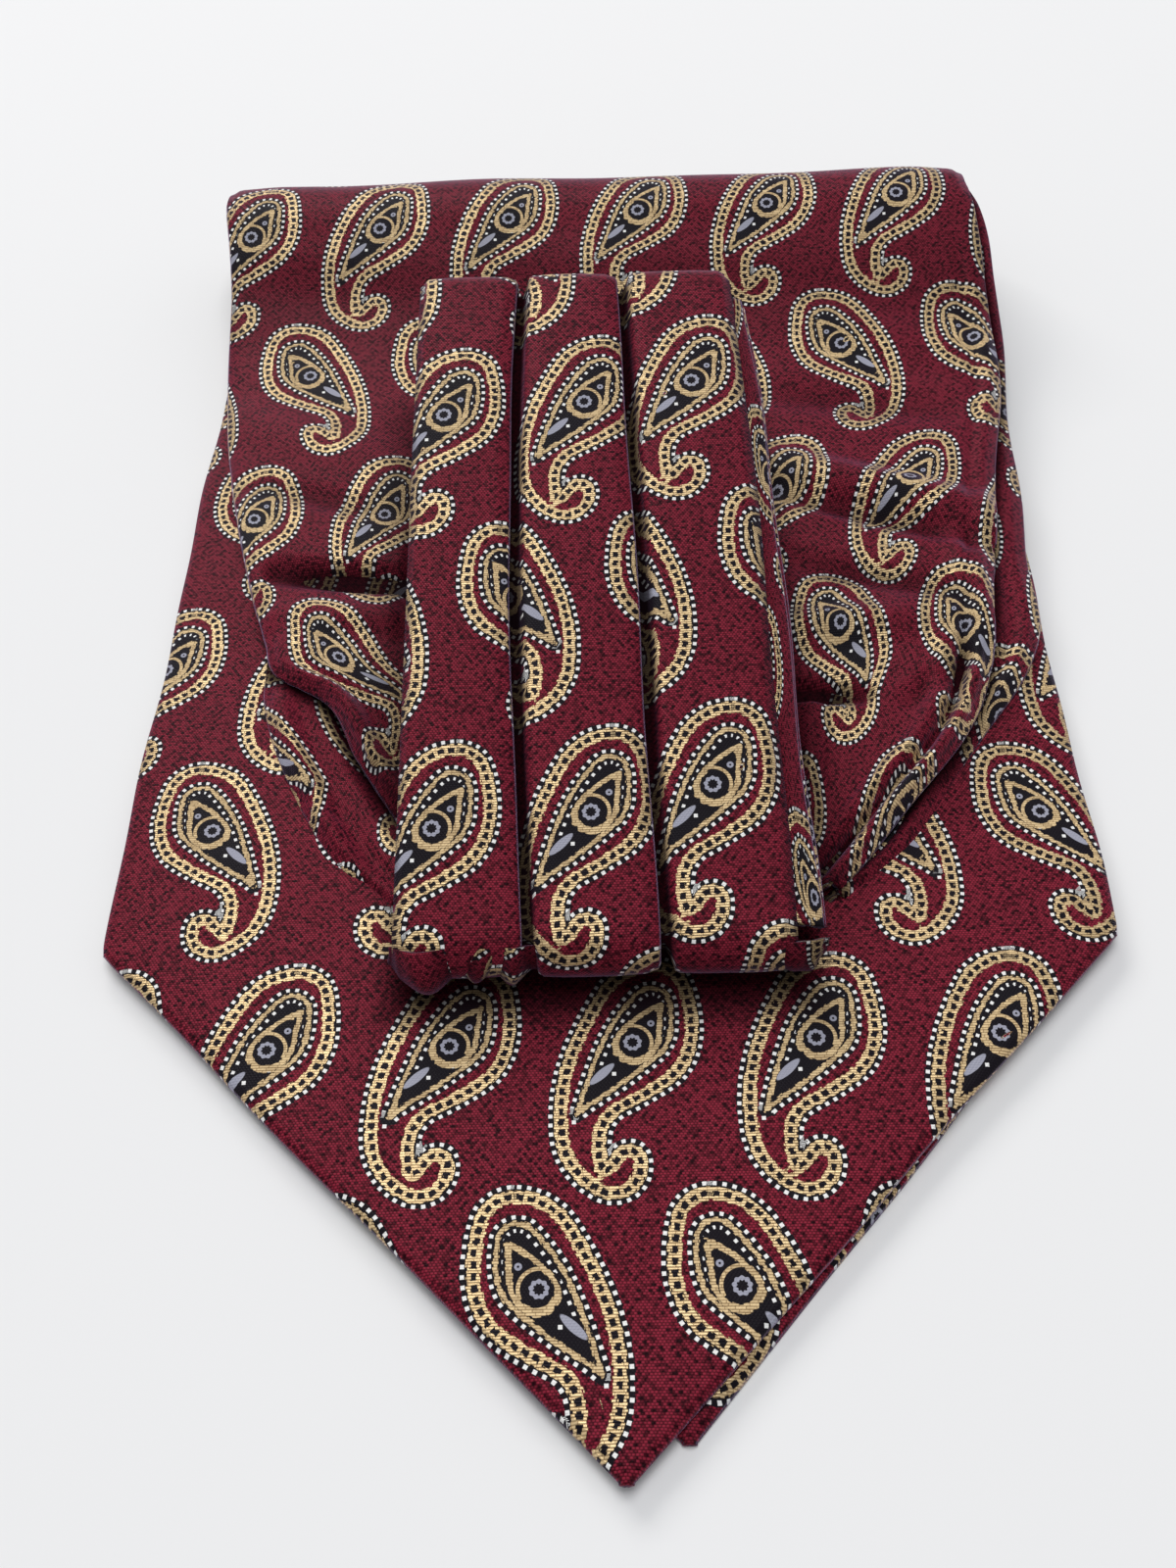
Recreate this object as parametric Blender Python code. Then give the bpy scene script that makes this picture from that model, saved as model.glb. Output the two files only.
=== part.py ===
"""A silk cravat, doubled at the middle of its neck band and folded in three.

The two blades lie flat, one on the other, with their points towards -Y.  At the
far end (+Y) they turn over and come back as the folded stretch, which narrows
into the pleated neck band.  The band turns over once more at the near end and
springs up from there, so that its far end stands clear of the stretch.

Metres, +Z up; the origin is the middle of the footprint, on the surface that the
cravat lies on.
"""

import math
from collections import namedtuple

import bmesh
import bpy
import numpy as np

# --- driving dimensions -------------------------------------------------------
STACK_LENGTH = 0.258  # tip of the upper blade to the far fold
BLADE_CLOTH = 0.0016  # one blade: silk folded over its interlining
PLEAT_CLOTH = 0.0013  # one thickness of a pleat
GAP = 0.0003  # clearance between neighbouring cloths
BLADE_END_GAP = 0.0008  # from a blade's far edge to the start of the fold
FAR_FOLD_RADIUS = 0.0115
NEAR_ROLL_RADIUS = 0.0053
BAND_END_RADIUS = 0.0042
TIP_RADIUS = 0.0010
SHOULDER_RADIUS = 0.0030
EDGE_DROOP = 0.0006  # how far the stretch sinks at its two side edges
PLEAT_TUCK = 0.0030  # how far a pleat runs in under its left neighbour
PLEAT_STEP = 0.0020  # how far down that tucked part lies
PLEAT_RISE = 0.0040  # width over which the pleat climbs out again
LIP_DEPTH = 0.0007  # depth of the groove between two stacked edges
ROLL_FILL = 0.8  # how much of the near roll's inside the hidden layers reach into
BAND_DEPTH = 0.0084  # top to underside of the doubled neck band
SLOPE_STEP = 0.0005  # half the run over which a slope is measured

FAR_Y = STACK_LENGTH / 2
TIP_Y = -STACK_LENGTH / 2 - TIP_RADIUS * (math.sqrt(2) - 1)  # the corner before it is rounded
FOLD_Y = FAR_Y - FAR_FOLD_RADIUS  # where the flat stretches start to turn over
UPPER_BOTTOM = BLADE_CLOTH + GAP
CORE_BOTTOM = UPPER_BOTTOM + BLADE_CLOTH + GAP

# --- tables: one row for each section, from near (-Y) to far (+Y) --------------
BladeCorners = namedtuple("BladeCorners", "tip_x tip_y left right shoulder_y far_left far_right")
UPPER = BladeCorners(-0.0028, TIP_Y, -0.0790, 0.0715, -0.0530, -0.0780, 0.0730)
UNDER = BladeCorners(0.0050, -0.1243, -0.0765, 0.0700, -0.0520, -0.0770, 0.0720)

StretchRow = namedtuple("StretchRow", "y height left right")
STRETCH = (
    StretchRow(-0.0460, 0.0068, -0.0290, 0.0310),
    StretchRow(-0.0340, 0.0074, -0.0350, 0.0415),
    StretchRow(-0.0200, 0.0080, -0.0430, 0.0530),
    StretchRow(-0.0070, 0.0086, -0.0510, 0.0590),
    StretchRow(-0.0020, 0.0087, -0.0580, 0.0605),
    StretchRow(0.0060, 0.0090, -0.0612, 0.0625),
    StretchRow(0.0260, 0.0093, -0.0665, 0.0655),
    StretchRow(0.0540, 0.0096, -0.0735, 0.0710),
    StretchRow(0.0720, 0.0103, -0.0753, 0.0738),
    StretchRow(0.0860, 0.0126, -0.0768, 0.0745),
    StretchRow(0.0960, 0.0160, -0.0773, 0.0740),
    StretchRow(0.1060, 0.0199, -0.0778, 0.0735),
    StretchRow(0.1130, 0.0225, -0.0785, 0.0732),
    StretchRow(FOLD_Y, 2 * FAR_FOLD_RADIUS, -0.0790, 0.0728),
)

FoldRow = namedtuple("FoldRow", "start_x start_y end_x end_y half_width height")
SOFT_FOLDS = (
    FoldRow(-0.0540, 0.0050, -0.0420, -0.0200, 0.0060, 0.0012),
    FoldRow(-0.0450, 0.0170, -0.0590, 0.0230, 0.0080, 0.0008),
    FoldRow(0.0330, 0.0440, 0.0660, 0.0330, 0.0080, 0.0016),
    FoldRow(0.0330, -0.0010, 0.0500, 0.0030, 0.0070, 0.0014),
    FoldRow(0.0360, -0.0330, 0.0520, -0.0170, 0.0060, 0.0010),
)

CoreRow = namedtuple("CoreRow", "y left right")
FOLDED_CORE = (
    CoreRow(-0.0360, -0.0390, 0.0430),
    CoreRow(-0.0140, -0.0520, 0.0590),
    CoreRow(0.0060, -0.0600, 0.0680),
    CoreRow(0.0360, -0.0665, 0.0730),
    CoreRow(0.0660, -0.0735, 0.0755),
    CoreRow(0.1000, -0.0765, 0.0785),
    CoreRow(FOLD_Y + 0.0065, -0.0780, 0.0790),
)

BandRow = namedtuple("BandRow", "y height left groove_1 groove_2 right layers_right")
BAND = (
    BandRow(-0.0580, 0.0144, -0.0344, -0.0162, 0.0033, 0.0232, 0.0270),
    BandRow(-0.0350, 0.0200, -0.0343, -0.0174, 0.0025, 0.0227, 0.0260),
    BandRow(-0.0050, 0.0274, -0.0342, -0.0183, 0.0018, 0.0221, 0.0250),
    BandRow(0.0250, 0.0342, -0.0342, -0.0184, 0.0009, 0.0216, 0.0241),
    BandRow(0.0574, 0.0411, -0.0340, -0.0175, -0.0002, 0.0197, 0.0220),
)

# --- finish -------------------------------------------------------------------
SILK_BURGUNDY = (0.215, 0.014, 0.036, 1.0)
SILK_SHADOW = (0.120, 0.010, 0.024, 1.0)
SILK_ROUGHNESS = 0.5


def silk(name, colour):
    material = bpy.data.materials.new(name)
    material.use_nodes = True
    shader = material.node_tree.nodes["Principled BSDF"]
    shader.inputs["Base Color"].default_value = colour
    shader.inputs["Roughness"].default_value = SILK_ROUGHNESS
    shader.inputs["Metallic"].default_value = 0.0
    material.diffuse_color = colour
    return material


def read(rows, column, y):
    """One named column at y, on a smooth curve through the table's rows."""
    ys = np.array([row.y for row in rows])
    values = np.array([getattr(row, column) for row in rows])
    slopes = np.gradient(values, ys)
    y = min(max(y, ys[0]), ys[-1])
    i = min(max(int(np.searchsorted(ys, y)) - 1, 0), len(ys) - 2)
    span = ys[i + 1] - ys[i]
    t = (y - ys[i]) / span
    start = (1 + 2 * t) * (1 - t) ** 2 * values[i] + t * (1 - t) ** 2 * span * slopes[i]
    end = t * t * (3 - 2 * t) * values[i + 1] + t * t * (t - 1) * span * slopes[i + 1]
    return float(start + end)


def smooth(t):
    t = min(max(t, 0.0), 1.0)
    return t * t * (3 - 2 * t)


def add_object(name, mesh_builder, colour):
    mesh = bpy.data.meshes.new(name)
    bmesh.ops.recalc_face_normals(mesh_builder, faces=mesh_builder.faces)
    mesh_builder.to_mesh(mesh)
    mesh_builder.free()
    mesh.shade_smooth()
    mesh.set_sharp_from_angle(angle=math.radians(50))
    mesh.materials.append(silk(f"{name}_silk", colour))
    cloth = bpy.data.objects.new(name, mesh)
    bpy.context.scene.collection.objects.link(cloth)
    return cloth


# --- the two flat blades --------------------------------------------------------
def rounded_outline(corners, steps=4):
    """The corners' polygon, each corner replaced by an arc of its own radius."""
    outline = []
    for i, (corner, radius) in enumerate(corners):
        here = np.array(corner)
        before = np.array(corners[i - 1][0]) - here
        after = np.array(corners[(i + 1) % len(corners)][0]) - here
        before /= np.linalg.norm(before)
        after /= np.linalg.norm(after)
        if radius == 0:
            outline.append(here)
            continue
        half_angle = math.acos(float(np.dot(before, after))) / 2
        middle = (before + after) / np.linalg.norm(before + after)
        centre = here + middle * radius / math.sin(half_angle)
        tangent = radius / math.tan(half_angle)
        first = here + before * tangent - centre
        last = here + after * tangent - centre
        for step in range(steps + 1):
            share = step / steps
            point = first * (1 - share) + last * share
            outline.append(centre + point * radius / np.linalg.norm(point))
    return outline


def blade(name, corners, bottom):
    """A pointed panel, flat on both sides."""
    far_y = FOLD_Y - BLADE_END_GAP
    outline = rounded_outline(
        (
            ((corners.tip_x, corners.tip_y), TIP_RADIUS),
            ((corners.right, corners.shoulder_y), SHOULDER_RADIUS),
            ((corners.far_right, far_y), 0),
            ((corners.far_left, far_y), 0),
            ((corners.left, corners.shoulder_y), SHOULDER_RADIUS),
        )
    )
    panel = bmesh.new()
    base = panel.faces.new([panel.verts.new((x, y, bottom)) for x, y in outline])
    lifted = bmesh.ops.extrude_face_region(panel, geom=[base])["geom"]
    raised = [part for part in lifted if isinstance(part, bmesh.types.BMVert)]
    bmesh.ops.translate(panel, verts=raised, vec=(0, 0, BLADE_CLOTH))
    return add_object(name, panel, SILK_BURGUNDY)


# --- cloth that follows a path in the YZ plane ----------------------------------
Station = namedtuple("Station", "table_y y z normal_y normal_z")


def arc_stations(centre_y, centre_z, radius, start, end, steps):
    """Stations round a fold; the angles are in degrees, 0 at +Y and 90 at the top."""
    for step in range(steps + 1):
        angle = math.radians(start + (end - start) * step / steps)
        out_y, out_z = math.cos(angle), math.sin(angle)
        yield Station(centre_y, centre_y + radius * out_y, centre_z + radius * out_z, out_y, out_z)


def top_stations(rows, start_y, end_y, steps):
    """Stations between two folds, on the table's height, without the two end ones."""
    for step in range(1, steps):
        y = start_y + (end_y - start_y) * step / steps
        rise = read(rows, "height", y + SLOPE_STEP) - read(rows, "height", y - SLOPE_STEP)
        slope = math.atan2(rise, 2 * SLOPE_STEP)
        yield Station(y, y, read(rows, "height", y), -math.sin(slope), math.cos(slope))


def cloth_wall(name, grid, thickness, colour):
    """A wall of the given thickness on the inner side of a grid of outer points."""
    sheet = bmesh.new()
    rows = [[sheet.verts.new(point) for point in row] for row in grid]
    for row, following in zip(rows, rows[1:]):
        for j in range(len(row) - 1):
            sheet.faces.new((row[j], following[j], following[j + 1], row[j + 1]))
    mesh = bpy.data.meshes.new(name)
    sheet.to_mesh(mesh)
    sheet.free()
    mesh.shade_smooth()
    mesh.materials.append(silk(f"{name}_silk", colour))
    cloth = bpy.data.objects.new(name, mesh)
    bpy.context.scene.collection.objects.link(cloth)
    wall = cloth.modifiers.new("cloth thickness", "SOLIDIFY")
    wall.thickness = thickness
    wall.offset = -1
    wall.use_rim = True
    return cloth


def soft_fold_height(x, y):
    """Height that the soft folds add at a point of the stretch: each is a long low mound."""
    height = 0.0
    for fold in SOFT_FOLDS:
        start = np.array((fold.start_x, fold.start_y))
        run = np.array((fold.end_x, fold.end_y)) - start
        share = float(np.dot(np.array((x, y)) - start, run) / np.dot(run, run))
        nearest = start + run * min(max(share, 0.0), 1.0)
        away = float(np.linalg.norm(np.array((x, y)) - nearest)) / fold.half_width
        height += fold.height * smooth(1 - away)
    return height


def folded_stretch():
    """The cloth that comes round the far fold and narrows towards the neck band."""
    far_steps, top_steps, across = 8, 34, 20
    stations = list(arc_stations(FOLD_Y, FAR_FOLD_RADIUS, FAR_FOLD_RADIUS, -90, 90, far_steps))
    stations += top_stations(STRETCH, FOLD_Y, STRETCH[0].y, top_steps)
    stations.append(Station(STRETCH[0].y, STRETCH[0].y, STRETCH[0].height, 0.0, 1.0))
    grid = []
    for at in stations:
        left = read(STRETCH, "left", at.table_y)
        right = read(STRETCH, "right", at.table_y)
        row = []
        for j in range(across + 1):
            share = j / across
            sink = EDGE_DROOP * (2 * share - 1) ** 6
            x = left + (right - left) * share
            lift = soft_fold_height(x, at.y) - sink
            row.append((x, at.y + at.normal_y * lift, at.z + at.normal_z * lift))
        grid.append(row)
    return cloth_wall("folded_stretch", grid, BLADE_CLOTH, SILK_BURGUNDY)


# --- the pleated neck band ------------------------------------------------------
def band_tilt(row, other):
    """Angle in radians at which the band's top leaves one end row for the next."""
    return math.atan2(other.height - row.height, other.y - row.y)


def band_stations():
    near, far = BAND[0], BAND[-1]
    near_tilt = band_tilt(near, BAND[1])
    far_tilt = band_tilt(BAND[-2], far)
    far_y = far.y + BAND_END_RADIUS * math.sin(far_tilt)
    far_z = far.height - BAND_END_RADIUS * math.cos(far_tilt)
    near_y = near.y + NEAR_ROLL_RADIUS * math.sin(near_tilt)
    near_z = near.height - NEAR_ROLL_RADIUS * math.cos(near_tilt)
    lean = math.degrees(far_tilt)
    stations = [
        at._replace(table_y=far.y)
        for at in arc_stations(far_y, far_z, BAND_END_RADIUS, lean - 90, lean + 90, 8)
    ]
    stations += top_stations(BAND, far.y, near.y, 14)
    stations += [
        at._replace(table_y=near.y)
        for at in arc_stations(
            near_y, near_z, NEAR_ROLL_RADIUS, 90 + math.degrees(near_tilt), 270, 10
        )
    ]
    return stations


def pleat(name, left_column, right_column, tucked):
    """One knife pleat: it dives under its left neighbour and ends in a rounded right edge."""
    inner_shares = (0.0, 0.25, 0.5, 0.75)
    grid = []
    for at in band_stations():
        left = read(BAND, left_column, at.table_y)
        right = read(BAND, right_column, at.table_y)
        if tucked:
            xs = [left - PLEAT_TUCK, left] + [left + PLEAT_RISE * share for share in (0.25, 0.5, 0.75)]
            sinks = [PLEAT_STEP] * 2 + [PLEAT_STEP * (1 - smooth(share)) for share in (0.25, 0.5, 0.75)]
            flat_from = left + PLEAT_RISE
        else:
            xs = [left, left + PLEAT_CLOTH]
            sinks = [PLEAT_CLOTH, PLEAT_CLOTH / 3]
            flat_from = left + 2 * PLEAT_CLOTH
        xs += [flat_from + (right - flat_from) * share for share in inner_shares] + [right]
        sinks += [0.0] * len(inner_shares) + [GAP]
        grid.append(
            [(x, at.y - at.normal_y * sink, at.z - at.normal_z * sink) for x, sink in zip(xs, sinks)]
        )
    return cloth_wall(name, grid, PLEAT_CLOTH, SILK_BURGUNDY)


# --- hidden layers: one solid each, layered at the edges ------------------------
def layered_section(left, right, bottom, top, layers, reach):
    """Closed XZ outline of stacked cloth. Each edge is a lip with a groove above and
    below it, and each lower layer reaches further out on the right."""
    lip = (top - bottom) / layers
    right_side, left_side = [], []
    for layer in range(layers):
        out_right = right - layer * reach
        base = bottom + layer * lip
        for inset, share in ((LIP_DEPTH, 0.0), (0.0, 0.3), (0.0, 0.7)):
            right_side.append((out_right - inset, base + share * lip))
            left_side.append((left + inset, base + share * lip))
    right_side.append((right - layers * reach - LIP_DEPTH, top))
    left_side.append((left + LIP_DEPTH, top))
    return right_side + left_side[::-1]


def loft(name, sections):
    """A closed solid through sections, each given as (y, outline of x and z)."""
    solid = bmesh.new()
    rings = [[solid.verts.new((x, y, z)) for x, z in outline] for y, outline in sections]
    for ring, following in zip(rings, rings[1:]):
        for j in range(len(ring)):
            k = (j + 1) % len(ring)
            solid.faces.new((ring[j], ring[k], following[k], following[j]))
    solid.faces.new(rings[0])
    solid.faces.new(rings[-1])
    return add_object(name, solid, SILK_SHADOW)


def folded_core():
    """The inner turns of both blades, between the upper blade and the folded stretch."""
    layers, reach, steps = 3, 0.0012, 16
    inner_radius = FAR_FOLD_RADIUS - BLADE_CLOTH - GAP
    start, end = FOLDED_CORE[0].y, FOLDED_CORE[-1].y
    sections = []
    for step in range(steps + 1):
        y = start + (end - start) * step / steps
        top = read(STRETCH, "height", y) - BLADE_CLOTH - EDGE_DROOP - GAP
        bottom = CORE_BOTTOM
        if y > FOLD_Y:
            rise = math.sqrt(inner_radius**2 - (y - FOLD_Y) ** 2) - EDGE_DROOP
            top = FAR_FOLD_RADIUS + rise
            bottom = max(CORE_BOTTOM, FAR_FOLD_RADIUS - rise)
        left = read(FOLDED_CORE, "left", y)
        right = read(FOLDED_CORE, "right", y)
        sections.append((y, layered_section(left, right, bottom, top, layers, reach)))
    return loft("folded_core", sections)


def band_core():
    """The under half of the neck band and the pleats' hidden folds. It leans with the
    band, and rests on the stretch at its near end only."""
    layers, reach, steps = 4, 0.0004, 16
    depth = PLEAT_STEP + PLEAT_CLOTH + 2 * GAP
    near, far = BAND[0], BAND[-1]
    tilt = band_tilt(near, BAND[1])
    roll_inside = NEAR_ROLL_RADIUS - depth
    roll_y = near.y + NEAR_ROLL_RADIUS * math.sin(tilt)
    roll_z = near.height - NEAR_ROLL_RADIUS * math.cos(tilt)
    start, end = roll_y - ROLL_FILL * roll_inside, far.y - 2 * GAP
    sections = []
    for step in range(steps + 1):
        y = start + (end - start) * step / steps
        top = read(BAND, "height", y) - depth
        bottom = max(top + depth - BAND_DEPTH, roll_z - roll_inside)
        if y > STRETCH[0].y:
            bottom = max(bottom, read(STRETCH, "height", y) + GAP)
        if y < roll_y:
            rise = math.sqrt(roll_inside**2 - (y - roll_y) ** 2)
            bottom = roll_z - rise
            top = roll_z + rise
        left = read(BAND, "left", y) + 2 * GAP
        right = read(BAND, "layers_right", y)
        sections.append((y, layered_section(left, right, bottom, top, layers, reach)))
    return loft("band_core", sections)


def clear_scene():
    for existing in list(bpy.data.objects):
        bpy.data.objects.remove(existing, do_unlink=True)


def main():
    clear_scene()
    blade("under_blade", UNDER, 0.0)
    blade("upper_blade", UPPER, UPPER_BOTTOM)
    folded_core()
    folded_stretch()
    band_core()
    pleat("pleat_left", "left", "groove_1", tucked=False)
    pleat("pleat_middle", "groove_1", "groove_2", tucked=True)
    pleat("pleat_right", "groove_2", "right", tucked=True)


main()
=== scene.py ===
# %% [markdown]
# # A paisley silk cravat, folded in three
#
# The cravat is one long strip: a pointed blade at each end and a pleated band for the neck between them.
# Here it is doubled at the middle of the neck band, so that the blades lie one on the other, and then
# folded in three.
#
# A cravat could be draped by a cloth simulation, but a folded garment has chosen places for its turns and
# pleats.  So each cloth below is laid one by one: a grid of points worked out in Python, made into a thin
# closed shell on the form of its solid.  The figured silk is drawn in the cloth's own coordinates, so the
# paisleys follow each fold as the woven ones do.

# %% Imports and the frame
import math
from collections import namedtuple

import bmesh
import bpy
import numpy as np
from mathutils import Matrix, Vector


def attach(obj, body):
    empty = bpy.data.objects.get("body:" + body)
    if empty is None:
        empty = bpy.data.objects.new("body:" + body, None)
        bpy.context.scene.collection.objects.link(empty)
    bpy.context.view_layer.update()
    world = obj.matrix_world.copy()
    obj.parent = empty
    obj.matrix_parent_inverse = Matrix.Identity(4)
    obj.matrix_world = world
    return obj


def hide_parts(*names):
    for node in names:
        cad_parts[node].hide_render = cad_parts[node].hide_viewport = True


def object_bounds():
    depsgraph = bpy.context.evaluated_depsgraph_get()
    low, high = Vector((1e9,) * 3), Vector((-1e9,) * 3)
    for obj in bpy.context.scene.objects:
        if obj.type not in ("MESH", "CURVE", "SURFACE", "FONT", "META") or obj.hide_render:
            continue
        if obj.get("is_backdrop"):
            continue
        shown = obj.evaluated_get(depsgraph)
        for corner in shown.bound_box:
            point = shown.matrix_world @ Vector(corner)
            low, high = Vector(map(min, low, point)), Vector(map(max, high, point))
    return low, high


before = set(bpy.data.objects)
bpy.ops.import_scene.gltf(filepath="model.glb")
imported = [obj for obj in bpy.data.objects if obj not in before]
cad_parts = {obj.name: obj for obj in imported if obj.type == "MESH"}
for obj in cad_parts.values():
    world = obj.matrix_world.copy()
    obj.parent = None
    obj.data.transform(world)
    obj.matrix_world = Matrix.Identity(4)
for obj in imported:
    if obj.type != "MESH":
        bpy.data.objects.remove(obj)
cad_low, cad_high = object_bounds()
print("solids span, mm:", [round(1000 * (b - a), 1) for a, b in zip(cad_low, cad_high)])

# %% [markdown]
# ## Sizes
#
# The sizes repeat the solids' own: the length of the stack, the turns of the cloth and the tables of
# widths.  A table row is a section, and the rows run from the near end (-Y) to the far end (+Y), in
# millimetres.

# %% Named sizes, in millimetres
MM = 0.001
STEP = 0.9  # between the points of a cloth
CLOTH = 1.5  # silk wrapped round its interlining
PLEAT_CLOTH = 1.2
GATHER_CLOTH = 0.96
FOLD_Y, FOLD_RADIUS = 117.5, 11.5  # where the blades turn over at the far end
ROLL_RADIUS, END_RADIUS = 5.3, 4.2  # the neck band's turn at the near end, and its doubled far end
UPPER_BOTTOM = 1.9  # the upper blade's underside

Blade = namedtuple("Blade", "tip_x tip_y left right shoulder_y far_left far_right")
UPPER = Blade(-2.8, -129.3, -79.3, 71.5, -53.7, -78.0, 73.0)
UNDER = Blade(5.0, -124.3, -76.5, 70.0, -52.0, -77.0, 72.0)

Row = namedtuple("Row", "y height left right")
STRETCH = (
    Row(-46, 6.8, -29.0, 31.0), Row(-34, 7.4, -35.0, 41.5), Row(-20, 8.0, -43.0, 53.0),
    Row(-7, 8.6, -51.0, 59.0), Row(-2, 8.7, -58.0, 60.5), Row(6, 9.0, -61.2, 62.5),
    Row(26, 9.3, -66.5, 65.5), Row(54, 9.6, -73.5, 71.0), Row(72, 10.3, -75.3, 73.8),
    Row(86, 12.6, -76.8, 74.5), Row(96, 16.0, -77.3, 74.0), Row(106, 19.9, -77.8, 73.5),
    Row(113, 22.5, -78.5, 73.2), Row(FOLD_Y, 23.0, -79.0, 72.8),
)
INNER = (
    Row(-47, 4.9, -36.5, 33.0), Row(-37, 5.2, -46.5, 43.5), Row(-27, 5.5, -52.7, 50.0),
    Row(-16, 5.9, -57.3, 58.0), Row(-6, 6.3, -59.8, 65.0), Row(4, 6.6, -60.5, 69.5),
    Row(26, 7.0, -65.0, 71.8), Row(54, 7.4, -71.5, 74.0), Row(72, 8.1, -73.5, 75.5),
    Row(86, 10.4, -75.0, 76.6), Row(96, 13.8, -75.5, 76.8), Row(106, 17.8, -76.0, 76.2),
    Row(113, 20.4, -76.5, 74.6), Row(FOLD_Y, 20.9, -77.0, 73.4),
)
BandRow = namedtuple("BandRow", "y height left groove_1 groove_2 right under")
BAND = (
    BandRow(-58.0, 14.4, -34.4, -16.2, 3.3, 23.2, 27.0),
    BandRow(-35.0, 20.0, -34.3, -17.4, 2.5, 22.7, 26.0),
    BandRow(-5.0, 27.4, -34.2, -18.3, 1.8, 22.1, 25.0),
    BandRow(25.0, 34.2, -34.2, -18.4, 0.9, 21.6, 24.1),
    BandRow(57.4, 41.1, -34.0, -17.5, -0.2, 19.7, 22.0),
)


def read(rows, column, y):
    """One named column at y, or at each of many y, on a smooth curve through the table's rows."""
    ys = np.array([row.y for row in rows], float)
    values = np.array([getattr(row, column) for row in rows], float)
    slopes = np.gradient(values, ys)
    y = np.clip(np.asarray(y, float), ys[0], ys[-1])
    i = np.clip(np.searchsorted(ys, y) - 1, 0, len(ys) - 2)
    span = ys[i + 1] - ys[i]
    t = (y - ys[i]) / span
    start = (1 + 2 * t) * (1 - t) ** 2 * values[i] + t * (1 - t) ** 2 * span * slopes[i]
    end = t * t * (3 - 2 * t) * values[i + 1] + t * t * (t - 1) * span * slopes[i + 1]
    return start + end


def smooth(t):
    """An even rise from 0 to 1 as t goes from 0 to 1, level at both ends."""
    t = np.clip(t, 0.0, 1.0)
    return t * t * (3 - 2 * t)


print("upper blade", UPPER.right - UPPER.left, "mm wide at its shoulders")

# %% [markdown]
# ## The paisley
#
# A jacquard loom weaves one motif over and over: here a bent teardrop with a hooked tail, in offset rows,
# and each second row is its mirror image.  A picture of it could be wrapped on the cloth, but a drawn line
# stays sharp at any size.  So the three outlines, of the band, the drop in it and the drop's core, are
# chains of circular arcs, each drawn like a walk: a radius and the degrees turned on it, to the left if
# positive.  Two more arcs close each walk.  The motif's own origin is the middle of its eye.

# %% The motif's three outlines
Turn = namedtuple("Turn", "radius degrees")
Walk = namedtuple("Walk", "x y heading last_heading bead_offset bead_pitch turns")

BAND_BEADS, DROP_BEADS = 1.45, 0.92  # how far outside its line each row of beads stands
WALKS = {
    "band": Walk(3.4, 12.5, 180, 180, BAND_BEADS, 1.36, (
        Turn(8.2, 58), Turn(52, 12), Turn(30, 26), Turn(9.8, 56), Turn(3.6, 100), Turn(5, 28),
        Turn(1.4, 135), Turn(16, -10), Turn(0.45, -120), Turn(12, -25), Turn(5.5, -54),
        Turn(44, 10), Turn(8, 30), Turn(13, 24),
    )),
    "drop": Walk(-7.9, -11.0, 45, 254, DROP_BEADS, 1.36, (
        Turn(16, -12), Turn(70, 9), Turn(6, 38), Turn(18, 17), Turn(2.6, 130),
    )),
    "core": Walk(4.3, 6.1, 203, 82, 1.0, 1.3, (Turn(15, 30), Turn(2.6, 142))),
}
Arc = namedtuple("Arc", "x y radius start sweep run bead_run")
Outline = namedtuple("Outline", "arcs length bead_length")


def arc_from(x, y, heading, turn, run, bead_run):
    side = 1 if turn.degrees > 0 else -1
    centre_x = x - side * turn.radius * math.sin(heading)
    centre_y = y + side * turn.radius * math.cos(heading)
    start = heading - side * math.pi / 2
    return Arc(centre_x, centre_y, turn.radius, start, math.radians(turn.degrees), run, bead_run)


def closing_turns(x, y, heading, walk):
    """Two turns that bring the walk smoothly back to where it began."""
    last_heading = math.radians(walk.last_heading)
    first = np.array([math.cos(heading), math.sin(heading)])
    last = np.array([math.cos(last_heading), math.sin(last_heading)])
    to_start = np.array([walk.x - x, walk.y - y])
    spare = 2 * (1 - first @ last)
    along = to_start @ (first + last)
    reach = (-along + math.sqrt(along**2 + spare * (to_start @ to_start))) / spare
    join = np.array([x + walk.x, y + walk.y]) / 2 + reach * (first - last) / 2
    way = first
    for begin, end in (((x, y), join), (join, (walk.x, walk.y))):
        chord = np.array(end) - np.array(begin)
        half = math.atan2(way[0] * chord[1] - way[1] * chord[0], way @ chord)
        radius = np.hypot(*chord) / (2 * abs(math.sin(half)))
        way = np.array([
            way[0] * math.cos(2 * half) - way[1] * math.sin(2 * half),
            way[0] * math.sin(2 * half) + way[1] * math.cos(2 * half),
        ])
        yield Turn(radius, math.degrees(2 * half))


SMALLEST_BEAD_TURN = 0.05


def bead_radius(arc, offset):
    """The radius of the row of beads beside an arc."""
    return max(arc.radius + (offset if arc.sweep > 0 else -offset), SMALLEST_BEAD_TURN)


def outline_of(walk):
    """The walk's arcs, each with the length walked before it, on the line and on its row of beads."""
    arcs = []
    turns = list(walk.turns)
    x, y, heading = walk.x, walk.y, math.radians(walk.heading)
    run, bead_run = 0.0, 0.0
    while turns:
        arc = arc_from(x, y, heading, turns.pop(0), run, bead_run)
        arcs.append(arc)
        x = arc.x + arc.radius * math.cos(arc.start + arc.sweep)
        y = arc.y + arc.radius * math.sin(arc.start + arc.sweep)
        heading += arc.sweep
        run += arc.radius * abs(arc.sweep)
        bead_run += bead_radius(arc, walk.bead_offset) * abs(arc.sweep)
        if len(arcs) == len(walk.turns):
            turns.extend(closing_turns(x, y, heading, walk))
    short_of = math.hypot(x - walk.x, y - walk.y)
    print("walk of", round(run, 1), "mm ends", round(short_of, 2), "mm from its start")
    return Outline(arcs, run, bead_run)


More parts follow.
